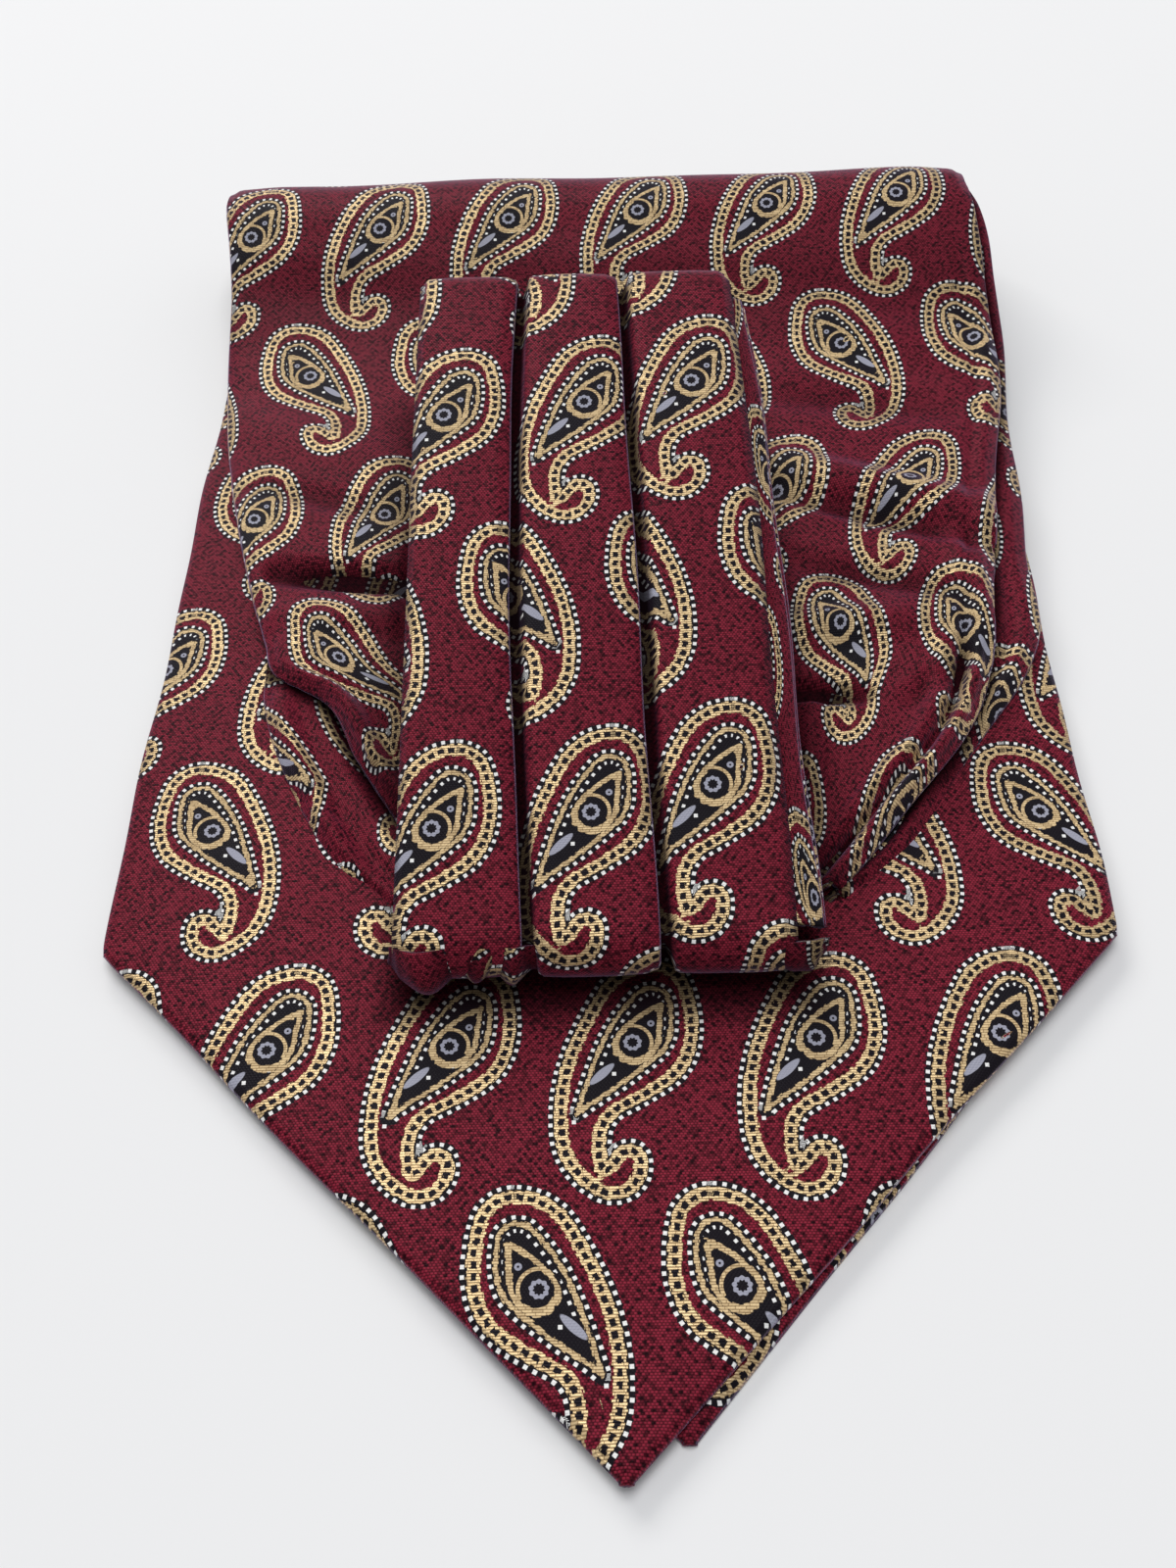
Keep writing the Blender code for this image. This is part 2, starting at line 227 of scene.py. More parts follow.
OUTLINES = {name: outline_of(walk) for name, walk in WALKS.items()}

# %% [markdown]
# Every mark on the motif is some way inside or outside one of these lines, and some way along it.  Both are
# measured from the nearest arc.  The dashes and beads are spaced to close up evenly, as a whole number of
# them.

# %% Measuring from an outline
DASH_PITCH = 1.55
HAIR = 1e-6  # a difference too small to count


def measure(walk, outline, x, y):
    """(distance, dashes, beads): distance is positive outside, the others count marks along the line."""
    dash_pitch = outline.length / round(outline.length / DASH_PITCH)
    bead_pitch = outline.bead_length / round(outline.bead_length / walk.bead_pitch)
    nearest = np.full(x.shape, np.inf)
    distance, dashes, beads = np.full(x.shape, np.inf), np.zeros(x.shape), np.zeros(x.shape)
    for arc in outline.arcs:
        side = 1 if arc.sweep > 0 else -1
        dx, dy = x - arc.x, y - arc.y
        middle, half = arc.start + arc.sweep / 2, abs(arc.sweep) / 2
        off = np.arctan2(dy, dx) - middle
        off = (off + math.pi) % (2 * math.pi) - math.pi
        held = np.clip(off, -half, half)
        angle = middle + held
        gap = np.hypot(x - arc.x - arc.radius * np.cos(angle), y - arc.y - arc.radius * np.sin(angle))
        outside = ((np.hypot(dx, dy) - arc.radius) * side >= 0) | (abs(off) > half + HAIR)
        closer = gap < nearest - HAIR
        nearest = np.where(closer, gap, nearest)
        distance = np.where(closer, gap * np.where(outside, 1.0, -1.0), distance)
        walked = half + side * held
        dashes = np.where(closer, (arc.run + arc.radius * walked) / dash_pitch, dashes)
        on_beads = (arc.bead_run + bead_radius(arc, walk.bead_offset) * walked) / bead_pitch
        beads = np.where(closer, on_beads, beads)
    return distance, dashes, beads


# %% [markdown]
# ## The repeat
#
# Columns stand 25.9 mm apart.  Two rows and their two gaps make 74.4 mm, and the gap before a mirrored row
# is a little shorter than the one after it.  A material alone could repeat the motif, but it would have to
# work out every arc again for each ray of light.  So a fine cloth mesh carries each point's measures from
# the nearest motif's outlines, which the finish then turns into gold, black and beads.

# %% Measuring the motif over a cloth
COLUMN, PERIOD, MIRROR_ROW = 25.9, 74.4, -35.4
REACH = (-14.5, 13.5, -27.0, 15.5)  # the motif's box round its eye: left, right, bottom, top
FAR_AWAY = 40.0  # the measure where no motif reaches
LOOK_BEYOND = 50  # past a cloth's own edges


def eyes_near(u, v):
    """(eye_u, eye_v, side) of each motif that could reach a cloth; side is -1 for a mirrored one."""
    rows = range(int((v.min() - LOOK_BEYOND) // PERIOD), int((v.max() + LOOK_BEYOND) // PERIOD) + 2)
    columns = range(int((u.min() - LOOK_BEYOND) // COLUMN), int((u.max() + LOOK_BEYOND) // COLUMN) + 1)
    for row in rows:
        for side, over, on in ((1, 0, 0), (-1, 0.5, MIRROR_ROW)):
            for column in columns:
                yield (column + over) * COLUMN, row * PERIOD + on, side


def motif_fields(u, v):
    """For cloth coordinates in mm: each outline's measures and the place in the nearest motif."""
    fields = {name: np.zeros((3, *u.shape)) for name in OUTLINES}
    for measures in fields.values():
        measures[0] = FAR_AWAY
    place = np.full((2, *u.shape), FAR_AWAY)
    for eye_u, eye_v, side in eyes_near(u, v):
        x, y = (u - eye_u) * side, v - eye_v
        near = np.flatnonzero((x > REACH[0]) & (x < REACH[1]) & (y > REACH[2]) & (y < REACH[3]))
        if not near.size:
            continue
        found = {}
        for name, outline in OUTLINES.items():
            found[name] = np.stack(measure(WALKS[name], outline, x[near], y[near]))
        closer = found["band"][0] < fields["band"][0][near]
        for name, measures in found.items():
            fields[name][:, near[closer]] = measures[:, closer]
        place[:, near[closer]] = x[near[closer]], y[near[closer]]
    return fields, place


# %% [markdown]
# ## A cloth from a grid of points
#
# Each cloth is a grid of points on its visible face, with the cloth's own coordinates beside it.  A
# Solidify modifier could thicken the face, but its rim would be square.  So each row of points is made a
# ring: along the face, out to a point that rounds the edge, back along the underside at the cloth's
# thickness and round the other edge.  The pattern goes round the edges too, and meets at the middle of the
# back, where the seam runs.

# %% Edges and back of a cloth
EDGE_OUT = 0.45  # how far an edge stands out, as a share of the thickness
EDGE_ROUND = 1.1  # the cloth taken up by going round an edge, in thicknesses
SHORTEST = 1e-6  # so that nothing is divided by 0
BACK_SHADE = 0.6  # an underside is dark, as little light gets to it


def normals_of(face):
    along = np.gradient(face, axis=0)
    across = np.gradient(face, axis=1)
    normal = np.cross(across, along)
    return normal / lengths_of(normal)


def lengths_of(vectors):
    """The length of each vector of a grid, never quite 0."""
    return np.maximum(np.linalg.norm(vectors, axis=2, keepdims=True), SHORTEST)


def ring_points(face, thickness):
    """Each row of the face made a ring; nothing sinks into the floor."""
    normal = normals_of(face)
    back = face - normal * thickness
    middle = face - normal * thickness / 2
    across = face[:, 1:] - face[:, :-1]
    across /= lengths_of(across)
    left = middle[:, :1] - across[:, :1] * thickness * EDGE_OUT
    right = middle[:, -1:] + across[:, -1:] * thickness * EDGE_OUT
    ring = np.concatenate([face, right, back[:, ::-1], left], axis=1)
    ring[..., 2] = np.maximum(ring[..., 2], 0.0)
    return ring


def ring_cloth(uv, thickness):
    """Cloth coordinates carried round both edges and on to the middle of the back."""
    left_way, right_way = uv[:, :1] - uv[:, 1:2], uv[:, -1:] - uv[:, -2:-1]
    left_way = left_way * thickness * EDGE_ROUND / lengths_of(left_way)
    right_way = right_way * thickness * EDGE_ROUND / lengths_of(right_way)
    half = uv.shape[1] // 2
    left_back = 2 * uv[:, :1] - uv[:, :half] + left_way
    right_back = 2 * uv[:, -1:] - uv[:, half:] + right_way
    back = np.concatenate([left_back, right_back], axis=1)
    return np.concatenate([uv, uv[:, -1:] + right_way / 2, back[:, ::-1], uv[:, :1] + left_way / 2], axis=1)


def ring_faces(rows, columns):
    """Quads between each ring and the next, and a flat cap of quads and two triangles on both end rings."""
    around = 2 * columns + 2
    index = np.arange(rows * around).reshape(rows, around)
    following = np.roll(index, -1, axis=1)
    sides = np.stack([index[:-1], following[:-1], following[1:], index[1:]], axis=-1).reshape(-1, 4)
    below_first = 2 * columns  # the point of the back under the ring's first point
    caps = []
    for ring, turn in ((index[0], 1), (index[-1], -1)):
        for j in range(columns - 1):
            caps.append([ring[j], ring[below_first - j], ring[below_first - j - 1], ring[j + 1]][::turn])
        caps.append([ring[0], ring[-1], ring[below_first]][::turn])
        caps.append([ring[columns - 1], ring[columns + 1], ring[columns]][::turn])
    return sides.tolist() + caps


# %% [markdown]
# Attributes hand the measures to the material: a Float attribute keeps one number at each point of the
# mesh, and a Vector attribute three.  Every cloth rides on the same body, and takes the place of its solid
# where it has one.

# %% Making one cloth
def give(mesh, name, values):
    """An attribute with a number at each point, or a pair, which becomes a level vector."""
    if values.ndim == 1:
        kind, field = "FLOAT", "value"
    else:
        kind, field = "FLOAT_VECTOR", "vector"
        values = np.column_stack([values, np.zeros(len(values))])
    mesh.attributes.new(name, kind, "POINT").data.foreach_set(field, values.astype(np.float32).ravel())


def cloth(name, face, uv, thickness, node=None, shade=0.0):
    """A closed shell in metres from a grid (rows, columns, 3) in mm.  On top, its rows go towards +Y."""
    rows, columns, _ = face.shape
    points = ring_points(face, thickness).reshape(-1, 3) * MM
    mesh = bpy.data.meshes.new(name)
    mesh.from_pydata(points.tolist(), [], ring_faces(rows, columns))
    on_cloth = ring_cloth(uv, thickness).reshape(-1, 2)
    fields, place = motif_fields(on_cloth[:, 0], on_cloth[:, 1])
    for outline, measures in fields.items():
        for kind, values in zip(("distance", "dashes", "beads"), measures):
            give(mesh, f"{outline}_{kind}", values)
    # Painted shade: the shade attribute darkens the face by the amount given and every underside by
    # BACK_SHADE, and the material goes over to a plain dark shader by it.
    shade = np.broadcast_to(shade, (rows, columns))
    back_shade = np.full(shade.shape, BACK_SHADE)
    give(mesh, "shade", np.concatenate([shade, shade[:, -1:], back_shade, shade[:, :1]], axis=1).ravel())
    give(mesh, "place", place.T)
    give(mesh, "cloth", on_cloth)
    mesh.shade_smooth()
    piece = bpy.data.objects.new(name, mesh)
    bpy.context.scene.collection.objects.link(piece)
    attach(piece, "root")
    if node:
        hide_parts(node)
    print(name, len(mesh.vertices), "points,", len(mesh.polygons), "faces")
    return piece


# %% [markdown]
# ## The two blades
#
# A blade is cut on the straight grain and comes to a right-angled point.  A flat outline would look like
# card, because silk over an interlining never lies dead flat.  So the face swells a little between its
# folded edges, rolls down at them, and the edges wander by about half a millimetre.  The upper blade has
# painted shade where the band's near roll stands on it, for the roll's shadow.

# %% Blades
POINT_HALF = 0.25  # half the width of a blade's very point
POINT_ROW = 0.35  # from there to the next row of the grid
BLADE_END_Y = FOLD_Y - 0.8  # the far fold goes on from here


def blade_edges(blade, ys, wander, phases):
    """Left and right edge of a blade at each y: from the point to the shoulders, then to the far end."""
    up = np.clip((ys - blade.tip_y) / (blade.shoulder_y - blade.tip_y), 0, 1)
    past = np.clip((ys - blade.shoulder_y) / (BLADE_END_Y - blade.shoulder_y), 0, 1)
    corner = 0.3 * np.exp(-(((ys - blade.shoulder_y) / 1.2) ** 2))
    left = blade.tip_x + (blade.left - blade.tip_x) * up + (blade.far_left - blade.left) * past + corner
    right = blade.tip_x + (blade.right - blade.tip_x) * up + (blade.far_right - blade.right) * past - corner
    ease = np.clip((right - left) / 40, 0, 1)
    left = left + ease * wander * (np.sin(ys / 11 + phases[0]) + 0.6 * np.sin(ys / 5.3 + phases[1]))
    right = right + ease * wander * (np.sin(ys / 12 + phases[2]) + 0.6 * np.sin(ys / 4.7 + phases[3]))
    return np.minimum(left, blade.tip_x - POINT_HALF), np.maximum(right, blade.tip_x + POINT_HALF)


def blade_face(blade, top, wander, seed):
    """A blade's grid, from its point to where the far fold begins, lying with its face about top high."""
    rng = np.random.default_rng(seed)
    phases = rng.uniform(0, 2 * math.pi, 6)
    ys = np.arange(blade.tip_y + 1, BLADE_END_Y, STEP)
    ys = np.unique([blade.tip_y, blade.tip_y + POINT_ROW, *ys, blade.shoulder_y, BLADE_END_Y])[:, None]
    left, right = blade_edges(blade, ys, wander, phases)
    share = np.linspace(0, 1, int((blade.right - blade.left) / STEP))
    x = left * (1 - share) + right * share
    y = ys + 0 * x
    edge = np.minimum(x - left, right - x)
    z = top + 0.35 * smooth(edge / 7.0) - 0.5 * (1 - smooth(edge / 1.4))
    z = z + 0.16 * np.sin(x / 17 + y / 29 + phases[4]) + 0.12 * np.sin(y / 13 - x / 31 + phases[5])
    return np.stack([x, y, z], axis=-1)


def turned(face, degrees, eye_x, eye_y):
    """Cloth coordinates on a face whose grain is turned, with an eye of a plain row at (eye_x, eye_y)."""
    angle = math.radians(degrees)
    dx, dy = face[..., 0] - eye_x, face[..., 1] - eye_y
    u = dx * math.cos(angle) + dy * math.sin(angle)
    v = -dx * math.sin(angle) + dy * math.cos(angle)
    return np.stack([u, v], axis=-1)


def roll_shade(face):
    """Painted shade, for the roll's shadow, on the upper blade under the near roll and just outside it."""
    x, y = face[..., 0], face[..., 1]
    outside = np.maximum(BAND[0].left + 1 - x, x - BAND[0].right)
    outside = np.maximum(outside, BAND[0].y - ROLL_RADIUS - y)
    return 0.80 * (1 - smooth(outside / 6.5))


face = blade_face(UPPER, UPPER_BOTTOM + CLOTH, 0.28, 3)
uv = turned(face, 0.2, -0.6, -70.5)
upper_blade = cloth("upper_blade", face, uv, CLOTH, "upper_blade", roll_shade(face))
face = blade_face(UNDER, CLOTH, 0.25, 5)
uv = turned(face, -1.0, -6.8, -59.9)
under_blade = cloth("under_blade", face, uv, CLOTH, "under_blade")

# %% [markdown]
# ## The folded stretch and the layer inside it
#
# At the far fold both blades turn over and come back towards the viewer, one inside the other, and narrow
# to the neck band.  Each follows a path: the table's heights, and a half turn at the far end.  Soft folds
# and troughs are listed one by one, each a long mound or hollow with its own length, width and height, and
# the cloth is gathered sideways as it narrows.  A noise texture would give folds too, but not where the
# band really crushes the cloth.

# %% Folds laid on one by one
Fold = namedtuple("Fold", "x1 y1 x2 y2 half_width height")
FOLDS = (
    Fold(-54, 5, -42, -20, 6.0, 1.7), Fold(-58, 11, -35, 8, 5.0, 1.5), Fold(-60, 21, -33, 17, 4.8, -3.4),
    Fold(28, 46, 68, 31, 6.5, 2.6), Fold(26, 39, 64, 24, 4.5, -1.8), Fold(26, 4, 46, 6, 6.0, 2.4),
    Fold(23, -8, 38, -10, 3.6, -3.2), Fold(30, -12, 27, -40, 3.0, 1.6), Fold(36, -33, 52, -17, 6.0, 1.2),
    Fold(58, 26, 64, -4, 4.0, 1.2), Fold(-70, 62, -36, 44, 9.0, 1.1), Fold(-68, 44, -38, 34, 5.0, -1.2),
    Fold(34, 86, 72, 76, 9.0, 1.0), Fold(-76, 96, -40, 92, 9.0, -0.9), Fold(30, 20, 58, 12, 5.0, -1.6),
    Fold(26, 66, 62, 60, 7.0, -1.2), Fold(-30, 100, 40, 98, 8.0, 0.6), Fold(46, -12, 60, 0, 3.5, -1.4),
    Fold(-36, 30, -37, 4, 3.0, -1.4), Fold(-52, -6, -41, -24, 2.6, -1.2), Fold(24, 58, 27, 28, 3.4, -1.3),
)
INNER_FOLDS = (
    Fold(-57, -8, -44, -40, 4.5, 1.5), Fold(-49, -6, -37, -31, 3.0, -1.6),
    Fold(-54, -24, -46, -30, 2.5, -0.8), Fold(66, 40, 62, 4, 4.0, 0.8),
)


def fold_height(folds, x, y):
    """The folds' heights added up; each is highest half way along and dies away at its ends and sides."""
    height = np.zeros(np.broadcast(x, y).shape)
    for fold in folds:
        run_x, run_y = fold.x2 - fold.x1, fold.y2 - fold.y1
        share = np.clip(((x - fold.x1) * run_x + (y - fold.y1) * run_y) / (run_x**2 + run_y**2), 0, 1)
        away = np.hypot(x - fold.x1 - run_x * share, y - fold.y1 - run_y * share) / fold.half_width
        taper = 0.55 + 0.45 * np.sin(math.pi * share)
        height += fold.height * taper * smooth(1 - away)
    return height


def bump(x, at, half_width):
    """A smooth ridge 1 high."""
    return smooth(1 - abs(x - at) / half_width)


def edge_lips(y, from_left, from_right):
    """Rolled edges: a ridge at the rim, then a groove and a second ridge, strongest near the band."""
    near_right = smooth((14 - y) / 22)
    near_left = smooth((10 - y) / 14)
    depth_right = (0.45 + 1.55 * near_right) * smooth((108 - y) / 16)
    lips = depth_right * (0.7 * bump(from_right, 2.2, 2.0) - 1.1 * bump(from_right, 4.9, 1.4))
    lips = lips + near_right * 1.1 * bump(from_right, 8.0, 2.6)
    return lips + near_left * (1.1 * bump(from_left, 2.6, 2.2) - 0.9 * bump(from_left, 6.0, 2.0))


# %% Paths
def slope_at(rows, y):
    """The angle at which a table's heights rise."""
    return np.arctan(read(rows, "height", y + 0.5) - read(rows, "height", y - 0.5))


def stretch_path(rows, radius, arc_degrees):
    """(table_y, y, z, normal_y, normal_z) along a stretch, from its near end on round the far fold."""
    ys = np.arange(rows[0].y, FOLD_Y, STEP)
    slope = slope_at(rows, ys)
    top = np.stack([ys, ys, read(rows, "height", ys), -np.sin(slope), np.cos(slope)], axis=-1)
    angles = np.radians(np.arange(90, 90 - arc_degrees - HAIR, -math.degrees(STEP / radius)))
    out_y, out_z = np.cos(angles), np.sin(angles)
    centre_z = rows[-1].height - radius
    at_fold = np.full(angles.shape, FOLD_Y)
    turn = np.stack([at_fold, FOLD_Y + radius * out_y, centre_z + radius * out_z, out_y, out_z], axis=-1)
    return np.concatenate([top, turn])


def length_along(path):
    """The length of cloth from the path's start to each of its stations."""
    return np.concatenate([[0], np.cumsum(np.hypot(np.diff(path[:, 1]), np.diff(path[:, 2])))])


# %% The two stretches
# hollow is the painted shade at each point of the folds' troughs.
Laid = namedtuple("Laid", "face path left right hollow")
TIGHTEST = 0.70  # the most that gathering narrows the pattern; beyond it the edges are rolled under
WIDER = 1.012  # how much wider than on the blades the pattern lies here
DEEPEST = 0.85  # the shade of the deepest hollow


def laid_stretch(rows, radius, folds, seed, arc_degrees=180.0, lips=1.0):
    """A stretch laid along its path, with the painted shade in its hollows."""
    rng = np.random.default_rng(seed)
    phase = rng.uniform(0, 2 * math.pi, 4)
    path = stretch_path(rows, radius, arc_degrees)
    table_y, y, z, normal_y, normal_z = (column[:, None] for column in path.T)
    left = read(rows, "left", table_y) + 0.35 * np.sin(table_y / 7 + phase[0])
    right = read(rows, "right", table_y) + 0.35 * np.sin(table_y / 6 + phase[1])
    share = np.linspace(0, 1, int(150 / STEP))
    x = left * (1 - share) + right * share
    edge = np.minimum(x - left, right - x)
    folded = fold_height(folds, x, y) + edge_lips(table_y, x - left, right - x) * lips
    lift = folded - 0.9 * (1 - smooth(edge / 2.4)) - 0.5 * (1 - smooth(edge / 12.0))
    lift = lift + 0.22 * np.sin(x / 13 + y / 21 + phase[2]) + 0.15 * np.sin(x / 7 - y / 17 + phase[3])
    face = np.stack([x, y + normal_y * lift, z + normal_z * lift], axis=-1)
    # Painted shade: the deeper a trough of the folds, the more shade is painted in it, up to DEEPEST.
    return Laid(face, path, left, right, np.clip((-folded - 0.3) * 0.42, 0, DEEPEST))


def stretch_uv(laid, eye_x, eye_y, tilt):
    """Cloth coordinates: gathered in proportion to the width, less so where the edges are rolled under."""
    x = laid.face[..., 0]
    full = STRETCH[-1].right - STRETCH[-1].left
    gather = np.maximum((laid.right - laid.left) / full, TIGHTEST)
    middle = (laid.left + laid.right) / 2
    u = middle + (x - middle) / gather
    walked = length_along(laid.path)
    on_top = laid.path[:, 1] < FOLD_Y - STEP
    at_eye = np.interp(eye_y, laid.path[on_top, 1], walked[on_top])
    v = walked[:, None] - at_eye - (x - eye_x) * math.tan(math.radians(tilt))
    return np.stack([(u - eye_x) / WIDER, v], axis=-1)


def stretch_shade(laid):
    """Painted shade beside the raised neck band, and a little of it on the rise to the far fold."""
    x, y, z = laid.face[..., 0], laid.face[..., 1], laid.face[..., 2]
    beside = np.maximum((read(BAND, "left", y) - x) / 14.0, (x - read(BAND, "under", y)) / 9.0)
    band_shade = 0.72 * (1 - smooth(beside)) * smooth((70 - y) / 10)
    rise_shade = 0.22 * bump(y, 93, 17) * (z > 9)
    return np.maximum(band_shade, rise_shade)


def inner_shade(laid):
    """Painted shade on the inner stretch under the edges of the one above."""
    x, y = laid.face[..., 0], laid.face[..., 1]
    bare = np.maximum(read(STRETCH, "left", y) - x, x - read(STRETCH, "right", y))
    return 0.92 * (1 - smooth(bare / np.where(x < 0, 4.2, 2.6)))


laid = laid_stretch(STRETCH, FOLD_RADIUS, FOLDS, 11)
uv = stretch_uv(laid, 5.2, 110.3, 2.6)
shade = np.maximum(laid.hollow, stretch_shade(laid))
folded_stretch = cloth("folded_stretch", laid.face, uv, CLOTH, "folded_stretch", shade)
laid = laid_stretch(INNER, FOLD_RADIUS - 2.0, INNER_FOLDS, 17, arc_degrees=170.0, lips=0.5)
uv = stretch_uv(laid, 12.0, 96.0, 1.0)
shade = np.maximum(laid.hollow, inner_shade(laid))
inner_stretch = cloth("inner_stretch", laid.face, uv, CLOTH, "folded_core", shade)

# %% [markdown]
# ## The neck band
#
# Three knife pleats, each tucked under its left neighbour, make the band.  It turns over in a tight roll at
# the near end and springs up from there to its doubled far end.  All three follow one path, round both
# turns.  One wavy sheet could stand for them, but a real pleat goes in under the next.  So each is a cloth
# of its own, and a groove shows where a tucked edge goes down beside its neighbour, made darker with
# painted shade.

# %% The band's path
NEAR_TILT = math.atan2(BAND[1].height - BAND[0].height, BAND[1].y - BAND[0].y)
FAR_TILT = math.atan2(BAND[-1].height - BAND[-2].height, BAND[-1].y - BAND[-2].y)
ROLL_Y = BAND[0].y + ROLL_RADIUS * math.sin(NEAR_TILT)
ROLL_Z = BAND[0].height - ROLL_RADIUS * math.cos(NEAR_TILT)
END_Y = BAND[-1].y + END_RADIUS * math.sin(FAR_TILT)
END_Z = BAND[-1].height - END_RADIUS * math.cos(FAR_TILT)


def turn_stations(table_y, centre_y, centre_z, radius, degrees):
    """Stations round one of the band's turns."""
    for angle in np.radians(degrees):
        out_y, out_z = math.cos(angle), math.sin(angle)
        yield table_y, centre_y + radius * out_y, centre_z + radius * out_z, out_y, out_z


def band_path():
    """(table_y, y, z, normal_y, normal_z) from under the near roll, over the top and round the far end."""
    near_y, far_y = BAND[0].y, BAND[-1].y
    far_turn = np.arange(math.degrees(FAR_TILT) - 90, math.degrees(FAR_TILT) + 90, 10)
    near_turn = np.arange(96 + math.degrees(NEAR_TILT), 270.1, 6)
    stations = list(turn_stations(far_y, END_Y, END_Z, END_RADIUS, far_turn))
    for y in np.linspace(far_y, near_y, int((far_y - near_y) / STEP)):
        slope = float(slope_at(BAND, y))
        if y < near_y + 0.5:
            slope = NEAR_TILT
        elif y > far_y - 0.5:
            slope = FAR_TILT
        stations.append((y, y, float(read(BAND, "height", y)), -math.sin(slope), math.cos(slope)))
    stations.extend(turn_stations(near_y, ROLL_Y, ROLL_Z, ROLL_RADIUS, near_turn))
    return np.array(stations)[::-1]


# %% Pleats
TUCK = 3.0  # how far a pleat goes on under its left neighbour


def pleat(name, left_column, right_column, tuck, drop, eye_x, eye_y, tilt):
    """One pleat, whose right edge drops at its fold and whose left edge is tucked or rounded."""
    path = band_path()
    table_y, y, z, normal_y, normal_z = (column[:, None] for column in path.T)
    rng = np.random.default_rng(len(name))
    left = read(BAND, left_column, table_y)
    right = read(BAND, right_column, table_y) + 0.15 * np.sin(table_y / 8 + rng.uniform(0, 6))
    share = np.linspace(0, 1, 34)
    x = left - tuck + (right - left + tuck) * share
    sink = drop * (1 - smooth((right - x) / 2.2)) ** 1.5 + 0.25 * (1 - smooth((right - x) / 7.0))
    if tuck:
        sink = sink + 3.3 * (1 - smooth((x - left - 1.2) / 1.6)) + 0.3 * (1 - smooth((x - left) / 7.0))
    else:
        sink = sink + 1.3 * (1 - smooth((x - left) / 1.8)) ** 1.5 + 0.3 * (1 - smooth((x - left) / 6.0))
    sink = sink + 0.10 * np.sin(y / 9 + rng.uniform(0, 6)) * np.sin(math.pi * share)
    face = np.stack([x, y - normal_y * sink, z - normal_z * sink], axis=-1)
    walked = length_along(path)
    on_top = path[:, 4] > 0.9
    at_eye = np.interp(eye_y, path[on_top, 1], walked[on_top])
    v = walked[:, None] - at_eye - (x - eye_x) * math.tan(math.radians(tilt))
    uv = np.stack([x - eye_x, v], axis=-1)
    # Painted shade: the deeper the cloth sinks at a groove or a rolled edge, the more shade is painted on
    # it.
    return cloth(name, face, uv, PLEAT_CLOTH, name, np.clip((sink - 0.8) * 0.6, 0, 0.92))


pleat_left = pleat("pleat_left", "left", "groove_1", 0.0, 0.5, -29.0, -42.8, 0.0)
pleat_middle = pleat("pleat_middle", "groove_1", "groove_2", TUCK, 0.5, -5.8, -40.8, 1.5)
pleat_right = pleat("pleat_right", "groove_2", "right", TUCK, 1.6, 12.1, -37.0, 1.5)

# %% [markdown]
# The band's under half follows the same slope in two layers.  Their folded edges reach a little further out
# on the right, where they show as a second edge with a dark slit above it.  One thick piece would have no
# slits, so each layer is a thin cloth.

# %% The band's under layers
def band_under(name, depth, left_in, right_out, start_y, end_y, shift, node=None):
    """One layer, depth below the pleats' face, with its pattern shifted so that no two layers match."""
    y = np.arange(start_y, end_y, STEP)[:, None]
    slope = slope_at(BAND, y)
    left = read(BAND, "left", y) + left_in + 0.2 * np.sin(y / 6 + shift)
    right = read(BAND, "under", y) + right_out + 0.3 * np.sin(y / 7 + shift)
    x = left + (right - left) * np.linspace(0, 1, int(60 / STEP))
    edge = np.minimum(x - left, right - x)
    z = read(BAND, "height", y) - depth / np.cos(slope) - 0.7 * (1 - smooth(edge / 2.0))
    face = np.stack([x, y + 0 * x, z], axis=-1)
    rolled = 4.5 * smooth((x - right + 3.5) / 3.5) + 2.0 * smooth((left + 3 - x) / 3)
    uv = np.stack([x + rolled + shift, y / np.cos(slope) + 0 * x + 2 * shift], axis=-1)
    return cloth(name, face, uv, PLEAT_CLOTH, node)


band_under_upper = band_under("band_under_upper", 3.9, 0.8, 0.0, -56.0, 57.6, 9.0, "band_core")
band_under_lower = band_under("band_under_lower", 5.5, 0.5, 0.6, -55.0, 58.4, 21.0)

# %% [markdown]
# At the near roll the band's inner folds are gathered, and bulge out below the pleats at both corners.
# They could be shaped with a sculpting brush, but a formula gives the same folds on every run.  So each
# corner is a part of the roll again, with bulges of its own that reach further out.

# %% The gathered folds of the near roll
Gather = namedtuple("Gather", "x half_width reach")
GATHERS = (
    Gather(-30.0, 5.5, 2.6), Gather(-22.5, 3.4, 1.1), Gather(-17.5, 3.0, 1.4), Gather(23.6, 3.4, 1.0),
)
GATHER_LOWEST = UPPER_BOTTOM + CLOTH + 1.6  # clear of the upper blade


def gathered_roll(name, start_x, end_x, shift):
    angles = np.radians(np.linspace(262, 128, 40))[:, None]
    x = np.linspace(start_x, end_x, int((end_x - start_x) / 0.35)) + 0 * angles
    edge = np.minimum(x - start_x, end_x - x)
    reach = ROLL_RADIUS - 1.9
    for gather in GATHERS:
        reach = reach + gather.reach * bump(x, gather.x, gather.half_width)
    reach = reach + 0.28 * np.sin(x * 1.3 + angles * 1.5) * smooth((x + 27) / 5) * smooth((end_x - x) / 3)
    reach = reach - 1.2 * (1 - smooth(edge / 1.8))
    lean = 0.5 * np.sin(angles * 2) * np.sin(x / 2.7)
    z = np.maximum(ROLL_Z + (reach + 0.4) * np.sin(angles), GATHER_LOWEST)
    face = np.stack([x + lean, ROLL_Y - 0.3 + reach * 1.25 * np.cos(angles), z], axis=-1)
    uv = np.stack([(x - start_x) * 1.25 + shift, -angles * 7.0 + 6 + 0 * x], axis=-1)
    # Painted shade: the less far a gathered fold reaches out, the more shade is painted on it, as it lies
    # deeper in the roll.
    return cloth(name, face, uv, GATHER_CLOTH, shade=np.clip(0.5 - (reach - 4.0) * 0.25, 0, 0.6))


